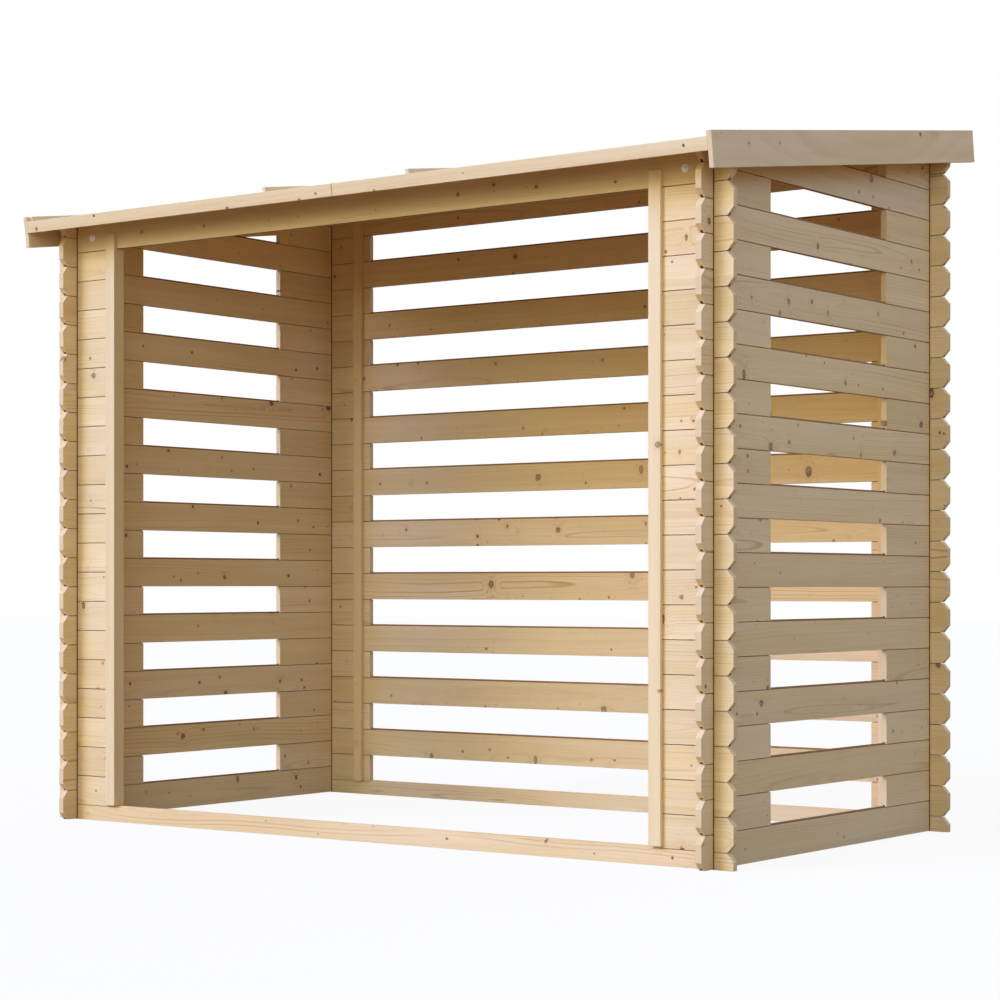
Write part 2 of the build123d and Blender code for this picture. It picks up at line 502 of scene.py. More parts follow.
def spruce_rings(tree, grain, knots, figure, wave):
    """Growth rings: late wood, clearer rings among them, where these show, and tone.

    The rings run round a pith that wanders beside the piece, and they bend round knots.
    The tone changes slowly from ring to ring.
    """
    big, big_dark, pin, pin_dark, _ = knots
    luck_a, luck_b, luck_c = grain.luck
    pith_depth, pith_height = 0.15, 0.13
    wander, sway, ripple_size = 0.055 * wave, 0.06 * wave, 0.0065 * wave
    shift_y = grain.drawn(grain.run * 1.1, luck_b * 9.0, 0.0) - 0.5
    shift_z = grain.drawn(grain.run * 0.9, luck_c * 9.0, 5.0) - 0.5
    pith_y = grain.y - (luck_b - 0.5) * pith_depth - shift_y * wander
    pith_z = grain.z - (luck_c - 0.5) * pith_height - shift_z * sway
    ripple = grain.patches(4.0, 14.0, 14.0, detail=2.0) - 0.5
    radius = (pith_y * pith_y + pith_z * pith_z) ** 0.5 + ripple * ripple_size
    big_bend, pin_bend = 0.016, 0.004
    radius = radius + tree.step(big, 4.5, 0.0) * big_dark * big_bend
    radius = radius + tree.step(pin, 3.6, 0.0) * pin_dark * pin_bend

    # In a ring the wood darkens slowly and ends with a sharp edge.
    ring_width = 0.0026 + luck_a * 0.0022
    phase = radius / ring_width
    phase = phase.math("FRACT", phase)
    late = tree.step(phase, 0.40, 0.92) * tree.step(phase, 1.0, 0.94)
    band = grain.drawn(radius * 60.0, luck_a * 50.0, 0.0) - 0.5

    # Some rings stand out, in patches of a piece and round its knots.
    strong = tree.step(grain.drawn(radius * 90.0, luck_b * 50.0, 9.0), 0.35, 0.65)
    clear_width = 0.0068 + luck_b * 0.004
    clear = radius / clear_width
    clear = clear.math("FRACT", clear)
    clear = tree.step(clear, 0.70, 0.88) * tree.step(clear, 1.0, 0.93) * strong
    patch = grain.patches(1.4, 10.0, 10.0, detail=1.0, shift=luck_a * 9.0)
    marked = tree.step(patch, 0.40, 0.66) * (luck_c * 0.6 + 0.4) * figure
    near_knot = tree.step(big, 7.0, 2.0) * big_dark * figure
    return late, clear, marked.math("MAXIMUM", marked, near_knot), band


def spruce(name, knots=0.32, figure=1.0, wave=1.0, wash=(1.0, 1.0, 1.0)):
    """Planed spruce that follows the grain attribute, with rings, fibres and knots.

    knots is the share of places with a knot. figure says how clear the rings are, wave
    how much they wander, and wash tints the wood.
    """
    colours = settings().timber
    tree = ShaderTree(bpy.data.materials.new(name))
    grain = Grain(tree)
    luck_a, luck_b, luck_c = grain.luck
    found = spruce_knots(tree, grain, knots)
    big, big_dark, pin, pin_dark, ragged = found
    late, clear, marked, band = spruce_rings(tree, grain, found, figure, wave)

    # Fibres and streaks run far along the grain, and the tone drifts through a piece.
    fibre = grain.patches(9.0, 700.0, 700.0, detail=3.0)
    streak = grain.patches(1.6, 45.0, 45.0, detail=3.0)
    drift = grain.patches(0.8, 8.0, 13.0, detail=2.0, shift=luck_b * 7.0)
    stain = grain.patches(2.2, 9.0, 42.0, detail=3.0, shift=luck_c * 9.0)
    stain = tree.step(stain + ragged * 0.04, 0.69, 0.76) * figure

    # Sapwood turns to honey, then come the rings, the redder heart and the sawn ends.
    honey = tree.step(drift + (luck_b - 0.5) * 0.30, 0.30, 0.72)
    colour = tree.blend(honey, opaque(colours.pale), opaque(colours.honey))
    lines = late * (0.10 + marked * 0.14) + clear * (0.13 * figure + marked * 0.76)
    colour = tree.blend(lines, colour, opaque(colours.late))
    heart = tree.step(streak, 0.52, 0.80) * 0.30 + tree.step(luck_c, 0.60, 1.0) * 0.16
    heart = heart + stain * 0.55
    colour = tree.blend(heart, colour, opaque(colours.heart))
    colour = tree.blend(tree.attribute("end", "Fac") * 0.8, colour, opaque(colours.end_grain))
    tone = 0.92 + luck_a * 0.10 + (fibre - 0.5) * 0.14 + band * 0.14
    tinted = tree.vector(*[tone * part for part in wash])
    colour = tree.blend(1.0, colour, tinted, "MULTIPLY")

    # A knot has a reddish halo and a dark core, which is darkest at its rim.
    halo = tree.step(big, 2.6, 0.95) * big_dark * 0.6
    halo = halo + tree.step(pin, 2.4, 0.95) * pin_dark * 0.35
    colour = tree.blend(halo, colour, opaque(colours.heart))
    core = tree.step(big, 1.08, 0.88) * big_dark
    rim = tree.step(big, 0.35, 0.80) * 0.14 + 0.86
    pin_core = tree.step(pin, 1.2, 0.7) * pin_dark * 0.95
    mask = core.math("MAXIMUM", core * rim, pin_core)
    colour = tree.blend(mask, colour, opaque(colours.knot))
    # Painted shade: faces in the joints, on tops and undersides and in notches are blended
    # towards a dark colour by how much shade falls there.
    colour = tree.blend(tree.attribute("joint_shade", "Fac"), colour, opaque(colours.joint_shade))

    height = fibre * 0.35 - late * 0.15 - clear * marked * 0.2 + core * 0.35
    looks = {
        "Base Color": colour,
        "Roughness": 0.64 - late * 0.08 - core * 0.14,
        "Specular IOR Level": 0.22,
    }
    return tree.finish(looks, height, strength=0.35, depth=0.0006)


def steel(name, colour):
    """Dull plated steel with faint blotches."""
    tree = ShaderTree(bpy.data.materials.new(name))
    per_metre = 260.0
    place = tree.parts(tree.add("ShaderNodeTexCoord", output="Object"))
    blotch = tree.noise(tree.vector(*[part * per_metre for part in place]), detail=3.0)
    bright = blotch * 0.3 + 0.85
    looks = {
        "Base Color": tree.vector(*[bright * part for part in colour]),
        "Metallic": 0.2,
        "Roughness": 0.5 - blotch * 0.2,
    }
    return tree.finish(looks, blotch, strength=0.2, depth=0.0002)


def material_for(finish):
    """The material of a finish, made once."""
    makers = {
        "log_timber": spruce,
        "post_timber": lambda name: spruce(
            name, knots=0.12, figure=0.4, wave=0.5, wash=(1.0, 1.01, 1.04)
        ),
        "deck_timber": lambda name: spruce(
            name, knots=0.24, figure=0.8, wave=0.8, wash=(0.96, 0.96, 0.94)
        ),
        "roof_trim_timber": lambda name: spruce(
            name, knots=0.10, figure=0.5, wave=0.3, wash=(1.02, 1.05, 1.14)
        ),
        "zinc": lambda name: steel(name, (0.93, 0.88, 0.90)),
        "brown_steel": lambda name: steel(name, (0.16, 0.10, 0.05)),
    }
    name = f"{finish}_finish"
    return bpy.data.materials.get(name) or makers[finish](name)


# ---- Meshes ----


def mesh_from(name, bm, order=(X, Y, Z), seed=None, painted_shade=None):
    """Close a bmesh as a mesh with its grain, seed and end attributes, and one of painted
    shade.

    order says which of the mesh's axes run along, through and across the grain. A piece
    that is repeated gets its seeds from the repeat, so it has none of its own here.
    The last argument gives how far painted shade darkens each face.
    """
    bmesh.ops.recalc_face_normals(bm, faces=bm.faces)
    mesh = bpy.data.meshes.new(name)
    bm.to_mesh(mesh)
    bm.free()
    grain = mesh.attributes.new("grain", "FLOAT_VECTOR", "POINT")
    for vertex, item in zip(mesh.vertices, grain.data):
        item.vector = [vertex.co[axis] for axis in order]
    end = mesh.attributes.new("end", "FLOAT", "FACE")
    for face, item in zip(mesh.polygons, end.data):
        item.value = abs(face.normal[order[0]]) ** 2
    if painted_shade:
        joint_shade = mesh.attributes.new("joint_shade", "FLOAT", "FACE")
        for face, item in zip(mesh.polygons, joint_shade.data):
            item.value = painted_shade(face)
    if seed is not None:
        own = mesh.attributes.new("seed", "FLOAT", "POINT")
        own.data.foreach_set("value", [seed] * len(mesh.vertices))
    return mesh


def tidy(bm):
    """Merge doubles and let flat faces with the same material index become one."""
    close, flat = 1e-6, math.radians(0.5)
    bmesh.ops.remove_doubles(bm, verts=bm.verts, dist=close)
    bmesh.ops.dissolve_degenerate(bm, edges=bm.edges, dist=close)
    bmesh.ops.recalc_face_normals(bm, faces=bm.faces)
    bmesh.ops.dissolve_limit(
        bm, angle_limit=flat, verts=bm.verts, edges=bm.edges, delimit={"MATERIAL"}
    )


def ease(bm, width, segments):
    """Round the sharp edges of a piece."""
    sharp = math.radians(20)
    edges = [edge for edge in bm.edges if edge.calc_face_angle(0.0) > sharp]
    bmesh.ops.bevel(
        bm, geom=edges, offset=width, segments=segments, affect="EDGES", profile=0.5,
        clamp_overlap=True,
    )


def skin(bm, loops):
    """Faces between closed loops of vertices, and a cap at each end."""
    for one, other in zip(loops, loops[1:]):
        for index in range(len(one)):
            following = (index + 1) % len(one)
            bm.faces.new((one[index], one[following], other[following], other[index]))
    bm.faces.new(loops[0])
    bm.faces.new(loops[-1])


def ring(bm, radius, y, sides):
    """A circle of vertices about Y."""
    angles = [math.tau * index / sides for index in range(sides)]
    return [bm.verts.new((radius * math.cos(a), y, radius * math.sin(a))) for a in angles]


def turned(bm, profile, sides):
    """A closed turned shape about Y from (radius, y) points."""
    skin(bm, [ring(bm, radius, y, sides) for radius, y in profile])


def log_section(sizes, thickness, half):
    """Points round a log's section as (through, up), with its tongue and its groove.

    Half the gap between courses is taken off the top and half off the underside, but a
    sill, which is half a log, stands on its full underside.
    """
    side = thickness / 2
    bevel = sizes.joint_bevel
    crest = sizes.tongue_width / 2
    groove = crest + sizes.groove_gap
    top = (sizes.course / 2 if half else sizes.course) - sizes.joint_gap / 2
    foot = 0.0 if half else sizes.joint_gap / 2
    roof = foot if half else sizes.tongue_height + 2 * sizes.groove_gap
    tip = top + sizes.tongue_height
    one_side = [
        (groove, roof), (groove, foot), (side - bevel, foot), (side, foot + bevel),
        (side, top - bevel), (side - bevel, top), (crest, top), (crest, tip),
    ]
    return one_side + [(-y, z) for y, z in reversed(one_side)]


def log_stations(sizes, thickness, half, start, end, cuts, crossings):
    """Places along a log as (x, lowest, highest): the section is held between the two.

    below and above lie outside any section, so they leave it whole.
    """
    height = sizes.course / 2 if half else sizes.course
    below, above = -1.0, 1.0
    slope = sizes.cut_height / sizes.cut_length
    gap = sizes.joint_gap / 2
    groove_depth = sizes.tongue_height + 2 * sizes.groove_gap

    def held(amount):
        """The heights that a cut of this depth leaves. A sill is only cut from above."""
        return (below if half else amount, height - amount)

    def end_run(edge, inward, cut):
        """The stations of one end from its edge inward, sloped where it is cut."""
        if not cut:
            return [(edge, below, above)]
        shoulder = edge + inward * sizes.cut_length
        run = [(edge, *held(sizes.cut_height))]
        run += [(shoulder - inward * rise / slope, *held(rise)) for rise in (groove_depth, gap)]
        tongue = shoulder + inward * sizes.tongue_inset
        return run + [(tongue, below, height - gap), (tongue, below, above)]

    stations = end_run(start, 1, cuts[0])
    reach = thickness / 2 + sizes.notch_gap
    notch = sizes.course / 4
    for line in crossings:
        stations += [(line - reach, below, above), (line - reach, *held(notch))]
        stations += [(line + reach, *held(notch)), (line + reach, below, above)]
    return stations + end_run(end, -1, cuts[1])[::-1]


def log_mesh(name, start, end, cuts, crossings, half=False):
    """One log along X that stands on z = 0, notched where others cross it.

    cuts says which of its two ends slope, and crossings where the other logs cross it.
    """
    sizes = settings().logs
    thickness = FRONT_SILL[1].y - FRONT_SILL[0].y
    section = log_section(sizes, thickness, half)
    stations = log_stations(sizes, thickness, half, start, end, cuts, crossings)
    bm = bmesh.new()
    loops = []
    for x, low, high in stations:
        loops.append([bm.verts.new((x, y, min(max(z, low), high))) for y, z in section])
    skin(bm, loops)

    # A material index keeps the sides of a notch apart from the open sides beside them.
    for face in bm.faces:
        middle = face.calc_center_median()
        crossed = any(abs(middle.x - line) < thickness / 2 for line in crossings)
        outer = abs(middle.y) > (thickness - sizes.joint_bevel) / 2
        face.material_index = int(crossed and outer)
    tidy(bm)

    def painted_shade(face):
        """How much painted shade darkens a face: tongue, groove, top, underside and the
        notches.
        """
        square = 0.9
        if face.material_index:
            return NOTCH_SHADE
        if face.normal.z < -square:
            return UNDERSIDE_SHADE
        if face.normal.z > square:
            return SILL_TOP_SHADE if half else TOP_SHADE
        if abs(face.normal.y) > square and abs(face.center.y) < sizes.tongue_width:
            return SILL_TOP_SHADE if half else TONGUE_SHADE
        cheek = any(abs(face.center.x - line) < thickness for line in crossings)
        return NOTCH_SHADE if abs(face.normal.x) > square and cheek else 0.0

    mesh = mesh_from(name, bm, painted_shade=painted_shade)
    mesh.polygons.foreach_set("material_index", [0] * len(mesh.polygons))
    return mesh


def solid_of(ranges, hollow=()):
    """Blocks between sorted (x, y, z) cuts, without the cells that are named as hollow."""
    bm = bmesh.new()
    cells = set(product(*[range(len(cuts) - 1) for cuts in ranges])) - set(hollow)
    square = ((0, 0), (1, 0), (1, 1), (0, 1))
    for cell in cells:
        for axis, far in product((X, Y, Z), (1, 0)):
            neighbour = list(cell)
            neighbour[axis] += 1 if far else -1
            if tuple(neighbour) in cells:
                continue
            corners = []
            for u, v in square:
                offsets = [u, v]
                offsets.insert(axis, far)
                place = [ranges[n][cell[n] + offsets[n]] for n in (X, Y, Z)]
                corners.append(bm.verts.new(place))
            bm.faces.new(corners)
    tidy(bm)
    return bm


def board_mesh(name, ranges, order, seed, edge, segments=2):
    """A straight board that fills a (low, high) range along each axis."""
    bm = solid_of(ranges)
    ease(bm, edge, segments)
    return mesh_from(name, bm, order, seed)


def bolt_mesh(sizes):
    """A washer, a nut with eased corners and the end of the rod, pointing along -Y."""
    sunk, washer, nut, tip = 0.0005, -0.002, -0.0085, -0.0116
    ease_by = 0.0004
    seat, crown = sizes.nut * 0.93, sizes.nut * 0.90
    round_sides, nut_sides, rod_sides = 40, 6, 20
    bm = bmesh.new()
    turned(bm, (
        (sizes.washer, sunk), (sizes.washer, washer + ease_by),
        (sizes.washer - ease_by, washer),
    ), round_sides)
    turned(bm, (
        (seat, washer + ease_by), (seat, washer), (sizes.nut, washer - ease_by),
        (sizes.nut, nut + ease_by), (crown, nut),
    ), nut_sides)
    turned(bm, (
        (sizes.rod, washer), (sizes.rod, tip + 2 * ease_by),
        (sizes.rod - 2 * ease_by, tip),
    ), rod_sides)
    return mesh_from("header_bolt", bm)


def screw_mesh(radius):
    """A flat screw head with a cross recess, pointing along -Y."""
    sunk, proud, floor = 0.0005, -0.0004, -0.0001
    arm, half, crown = radius * 0.62, radius * 0.16, radius * 0.93
    sides = 24
    quarter = ((half, arm), (half, half), (arm, half))
    corners = []
    for turn in range(4):
        spin = Matrix.Rotation(-turn * math.pi / 2, 2)
        corners += [spin @ Vector(corner) for corner in quarter]
    bm = bmesh.new()
    outline = ((radius, sunk), (radius, proud / 2), (crown, proud))
    rim = [ring(bm, wide, y, sides) for wide, y in outline]
    cross = [[bm.verts.new((x, y, z)) for x, z in corners] for y in (proud, floor)]
    skin(bm, rim)
    skin(bm, cross)
    for loop in (rim[-1], cross[0]):
        bmesh.ops.delete(bm, geom=[bm.faces.get(loop)], context="FACES_ONLY")
    edges = [bm.edges.get((a, b)) for loop in (rim[-1], cross[0])
             for a, b in zip(loop, loop[1:] + loop[:1])]
    bmesh.ops.triangle_fill(bm, edges=edges, use_beauty=True)
    return mesh_from("screw", bm)


def nails_mesh(radius, places):
    """Flat nail heads on the XY plane, one at each (x, y)."""
    sunk, shoulder, proud = -0.0005, 0.0002, 0.0005
    profile = ((radius, sunk), (radius, shoulder), (radius * 0.8, proud))
    sides = 10
    bm = bmesh.new()
    for x, y in places:
        added = len(bm.verts)
        turned(bm, profile, sides)
        bm.verts.ensure_lookup_table()
        fresh = bm.verts[added:]
        stand = Matrix.Translation((x, y, 0.0)) @ Matrix.Rotation(math.pi / 2, 4, "X")
        bmesh.ops.transform(bm, matrix=stand, verts=fresh)
    return mesh_from("nails", bm)


# ---- Pieces ----


def linked(name, mesh):
    """A new object with this mesh in the scene."""
    piece = bpy.data.objects.new(name, mesh)
    bpy.context.scene.collection.objects.link(piece)
    return piece


def settled(piece, finish, *nodes):
    """Finish a piece: its material, the body it rides on and the nodes it stands for."""
    piece.data.materials.clear()
    piece.data.materials.append(material_for(finish))
    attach(piece, "root")
    finish in [material["slot"] for material in frame["record"]["materials"]]
    if nodes:
        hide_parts(*nodes)
    return piece


def repeat_tree():
    """Geometry Nodes that repeat a piece in a row and give each copy its own seed."""
    name = "repeat_in_a_row"
    if name in bpy.data.node_groups:
        return bpy.data.node_groups[name]
    tree = bpy.data.node_groups.new(name, "GeometryNodeTree")
    sockets = (
        ("Piece", "NodeSocketGeometry"), ("Count", "NodeSocketInt"),
        ("Start", "NodeSocketVector"), ("Step", "NodeSocketVector"),
        ("Turn", "NodeSocketVector"), ("Seed", "NodeSocketFloat"),
        ("Finish", "NodeSocketMaterial"),
    )
    for label, kind in sockets:
        tree.interface.new_socket(label, in_out="INPUT", socket_type=kind)
    tree.interface.new_socket("Row", in_out="OUTPUT", socket_type="NodeSocketGeometry")

    def add(kind, options=None, inputs=None):
        node = tree.nodes.new(kind)
        for key, value in (options or {}).items():
            setattr(node, key, value)
        for key, value in (inputs or {}).items():
            if isinstance(value, bpy.types.NodeSocket):
                tree.links.new(value, node.inputs[key])
            else:
                node.inputs[key].default_value = value
        return node

    given = add("NodeGroupInput").outputs
    line = add(
        "GeometryNodeMeshLine", {"mode": "OFFSET"},
        {"Count": given["Count"], "Start Location": given["Start"], "Offset": given["Step"]},
    )
    turn = add("FunctionNodeEulerToRotation", inputs={"Euler": given["Turn"]})
    row = add(
        "GeometryNodeInstanceOnPoints",
        inputs={"Points": line.outputs["Mesh"], "Instance": given["Piece"],
                "Rotation": turn.outputs["Rotation"]},
    )
    index = add("GeometryNodeInputIndex")
    number = add(
        "ShaderNodeMath", {"operation": "ADD"}, {0: index.outputs[0], 1: given["Seed"]}
    )
    stored = add(
        "GeometryNodeStoreNamedAttribute", {"data_type": "FLOAT", "domain": "INSTANCE"},
        {"Geometry": row.outputs["Instances"], "Name": "seed", "Value": number.outputs[0]},
    )
    real = add(
        "GeometryNodeRealizeInstances", inputs={"Geometry": stored.outputs["Geometry"]}
    )
    dressed = add(
        "GeometryNodeSetMaterial",
        inputs={"Geometry": real.outputs["Geometry"], "Material": given["Finish"]},
    )
    add("NodeGroupOutput", inputs={"Row": dressed.outputs["Geometry"]})
    return tree


def repeated(name, mesh, finish, count, start, step, turn=(0.0, 0.0, 0.0), seed=0.0):
    """A row of copies of a mesh as one plain mesh."""
    piece = linked(name, mesh)
    modifier = piece.modifiers.new("row", "NODES")
    tree = repeat_tree()
    modifier.node_group = tree
    values = {
        "Count": count, "Start": start, "Step": step, "Turn": turn, "Seed": seed,
        "Finish": material_for(finish),
    }
    for item in tree.interface.items_tree:
        if item.in_out == "INPUT" and item.name in values:
            modifier[item.identifier] = values[item.name]
    graph = bpy.context.evaluated_depsgraph_get()
    row = bpy.data.meshes.new_from_object(
        piece.evaluated_get(graph), preserve_all_data_layers=True, depsgraph=graph
    )
    piece.modifiers.clear()
    piece.data = row
    return piece


# ---- Places ----


def wall_faces():
    """Outer faces of the walls: left, right, front and back."""
    return LEFT_RAILS[0].x, RIGHT_RAILS[1].x, FRONT_SILL[0].y, BACK_SILL[1].y


def wall_lines():
    """Middles of the walls: left, right, front and back."""
    half = (FRONT_SILL[1].y - FRONT_SILL[0].y) / 2
    left, right, front, back = wall_faces()
    return left + half, right - half, front + half, back - half


def roof_matrix():
    """From the slope (x, along, above the underside of the boards) to the frame."""
    sizes = settings()
    course = sizes.logs.course
    rise = (sizes.walls.back_courses - sizes.walls.front_courses) * course
    run = BACK_SILL[1].y - FRONT_SILL[1].y
    height = (sizes.walls.front_courses + 0.5) * course
    place = Matrix.Translation((0.0, FRONT_SILL[1].y, height))
    return place @ Matrix.Rotation(math.atan2(rise, run), 4, "X")


def slope_ranges(node):
    """Where a straight CAD board lies on the slope."""
    back = roof_matrix().inverted()
    places = [back @ vertex.co for vertex in frame["nodes"][node].data.vertices]
    return [(min(axis), max(axis)) for axis in zip(*places)]


def on_slope(piece):
    """Move a piece from the slope to its place in the frame."""
    piece.data.transform(roof_matrix())
    return piece


def cut_under_roof(piece):
    """Saw off what stands above the underside of the roof boards."""
    roof = roof_matrix()
    bm = bmesh.new()
    bm.from_mesh(piece.data)
    parts = list(bm.verts) + list(bm.edges) + list(bm.faces)
    cut = bmesh.ops.bisect_plane(
        bm, geom=parts, plane_co=roof.translation, plane_no=roof.col[2].xyz,
        clear_outer=True, dist=1e-6,
    )
    edges = [item for item in cut["geom_cut"] if isinstance(item, bmesh.types.BMEdge)]
    bmesh.ops.holes_fill(bm, edges=[edge for edge in edges if edge.is_boundary], sides=0)
    bmesh.ops.recalc_face_normals(bm, faces=bm.faces)
    bm.to_mesh(piece.data)
    bm.free()
    return piece


def across_row(name, mesh, line, first, count, seed, every=2):
    """Logs of the front or back wall from a course up, where course 0 is the sill."""
    course = settings().logs.course
    bottom = max(first - 0.5, 0.0) * course
    step = (0.0, 0.0, every * course)
    return repeated(name, mesh, "log_timber", count, (0.0, line, bottom), step, seed=seed)


def along_row(name, mesh, line, first, count, seed):
    """Every second log of a side wall from a course up, where course 1 is the lowest."""
    course = settings().logs.course
    start = (line, 0.0, (first - 1) * course)
    step = (0.0, 0.0, 2 * course)
    turn = (0.0, 0.0, math.pi / 2)
    return repeated(name, mesh, "log_timber", count, start, step, turn, seed)


# ---- Operators ----


class LOGSTORE_OT_front_wall(bpy.types.Operator):
    """Sill, short logs and header of the front wall"""

    bl_idname = "logstore.front_wall"
    bl_label = "Front wall"

    def execute(self, context):
        low, high = FRONT_SILL[0].x, FRONT_SILL[1].x
        left, right, front, _ = wall_lines()
        courses = settings().walls.front_courses
        left_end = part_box("front_left_logs_odd")[1].x
        right_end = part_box("front_right_logs_odd")[0].x
        sill = log_mesh("sill", low, high, (True, True), (left, right), half=True)
        header = log_mesh("header", low, high, (True, True), (left, right))
        left_log = log_mesh("left_log", low, left_end, (True, False), (left,))
        right_log = log_mesh("right_log", right_end, high, (False, True), (right,))
        for name, mesh, first, count, seed in (
            ("front_sill", sill, 0, 1, 3.0),
            ("front_header", header, courses, 1, 12.0),
            ("front_left_logs", left_log, 1, courses - 1, 100.0),
            ("front_right_logs", right_log, 1, courses - 1, 140.0),
        ):
            piece = across_row(f"{name}_planed", mesh, front, first, count, seed, every=1)
            nodes = (f"{name}_odd", f"{name}_even") if name.endswith("_logs") else (name,)
            settled(cut_under_roof(piece), "log_timber", *nodes)
        return {"FINISHED"}


class LOGSTORE_OT_back_wall(bpy.types.Operator):
    """Sill, rails, short logs and top log of the back wall"""

    bl_idname = "logstore.back_wall"
    bl_label = "Back wall"

    def execute(self, context):
        low, high = BACK_SILL[0].x, BACK_SILL[1].x
        left, right, _, back = wall_lines()
        courses = settings().walls.back_courses
        half = courses // 2
        left_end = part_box("back_left_blocks")[1].x
        right_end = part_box("back_right_blocks")[0].x
        sill = log_mesh("sill", low, high, (True, True), (left, right), half=True)
        rail = log_mesh("rail", low, high, (True, True), (left, right))
        left_block = log_mesh("left_block", low, left_end, (True, False), (left,))
        right_block = log_mesh("right_block", right_end, high, (False, True), (right,))
        for name, mesh, first, count, seed in (
            ("back_sill", sill, 0, 1, 5.0),
            ("back_rails", rail, 2, half - 1, 200.0),
            ("back_top_log", rail.copy(), courses, 1, 230.0),
            ("back_left_blocks", left_block, 1, half, 240.0),
            ("back_right_blocks", right_block, 1, half, 260.0),
        ):
            piece = across_row(f"{name}_planed", mesh, back, first, count, seed)
            settled(cut_under_roof(piece), "log_timber", name)
        return {"FINISHED"}


class LOGSTORE_OT_side_walls(bpy.types.Operator):
    """Rails, short logs and sawn wedges of both side walls"""

    bl_idname = "logstore.side_walls"
    bl_label = "Side walls"

    def execute(self, context):
        low, high = LEFT_RAILS[0].y, LEFT_RAILS[1].y
        left, right, front, back = wall_lines()
        half = settings().walls.back_courses // 2
        front_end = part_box("left_front_blocks")[1].y
        back_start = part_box("left_back_blocks")[0].y
        wedge_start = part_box("left_top_wedge")[0].y
        rail = log_mesh("rail", low, high, (True, True), (front, back))
        front_block = log_mesh("front_block", low, front_end, (True, False), (front,))
        back_block = log_mesh("back_block", back_start, high, (False, True), (back,))
        wedge = log_mesh("wedge", wedge_start, high, (False, True), (back,))
        for side, line, seed in (("left", left, 300.0), ("right", right, 400.0)):
            for part, mesh, first, count, later in (
                ("rails", rail, 1, half, 0.0),
                ("front_blocks", front_block, 2, half - 1, 30.0),
                ("back_blocks", back_block, 2, half, 50.0),
                ("top_wedge", wedge, 2 * half + 1, 1, 70.0),
            ):
                name = f"{side}_{part}"
                piece = along_row(
                    f"{name}_planed", mesh.copy(), line, first, count, seed + later
                )
                settled(cut_under_roof(piece), "log_timber", name)
        return {"FINISHED"}


class LOGSTORE_OT_posts(bpy.types.Operator):
    """Slotted posts beside the opening and battens inside the back wall"""

    bl_idname = "logstore.posts"
    bl_label = "Posts and battens"

    def execute(self, context):
        sizes = settings()
        line = wall_lines()[2]
        slot = sizes.walls.post_slot / 2
        edge = sizes.roof.eased_edge
        web = sizes.walls.post_web
        for side, seed in (("left", 500.0), ("right", 510.0)):
            low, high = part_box(f"{side}_post")
            left = side == "left"
            xs = (low.x, high.x - web if left else low.x + web, high.x)
            ys = (low.y, line - slot, line + slot, high.y)
            zs = (low.z, HEADER[0].z, high.z)
            # The slot takes the short logs, and above them the header passes right through.
            hollow = ((0 if left else 1, 1, 0), (0, 1, 1), (1, 1, 1))
            bm = solid_of((xs, ys, zs), hollow)
            ease(bm, edge, segments=2)
            mesh = mesh_from("post", bm, (Z, Y, X), seed)
            settled(linked(f"{side}_post_planed", mesh), "post_timber", f"{side}_post")
            node = f"back_{side}_batten"
            ranges = tuple(zip(*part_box(node)))
            mesh = board_mesh("batten", ranges, (Z, Y, X), seed + 5.0, edge)
            settled(linked(f"{node}_planed", mesh), "post_timber", node)
        return {"FINISHED"}


class LOGSTORE_OT_roof(bpy.types.Operator):
    """Roof boards, battens, barge boards and fascias"""

    bl_idname = "logstore.roof"
    bl_label = "Roof"

    def execute(self, context):
        sizes = settings().roof
        across, along, up = slope_ranges("roof_deck")
        width = (across[1] - across[0]) / sizes.board_count
        board = board_mesh(
            "roof_board", ((0.0, width), along, up), (Y, Z, X), seed=None,
            edge=sizes.board_bevel, segments=1,
        )
        piece = repeated(
            "roof_boards", board, "deck_timber", sizes.board_count,
            (across[0], 0.0, 0.0), (width, 0.0, 0.0), seed=600.0,
        )
        settled(on_slope(piece), "deck_timber", "roof_deck")
        trims = [
            node for node in sorted(frame["nodes"])
            if node.endswith(("_barge_board", "_roof_batten")) or "_fascia_" in node
        ]
        for number, node in enumerate(trims, start=1):
            seed = 700.0 + 7.0 * number
            ranges = slope_ranges(node)
            order = (Y, X, Z)
            if "_fascia_" in node:
                order = (X, Y, Z)
                left, right = ranges[X]
                gap = sizes.butt_gap / 2
                ranges[X] = (left, -gap) if node.endswith("_left") else (gap, right)
            mesh = board_mesh(node, ranges, order, seed, sizes.eased_edge)
            piece = on_slope(linked(f"{node}_planed", mesh))
            settled(piece, "roof_trim_timber", node)
        return {"FINISHED"}


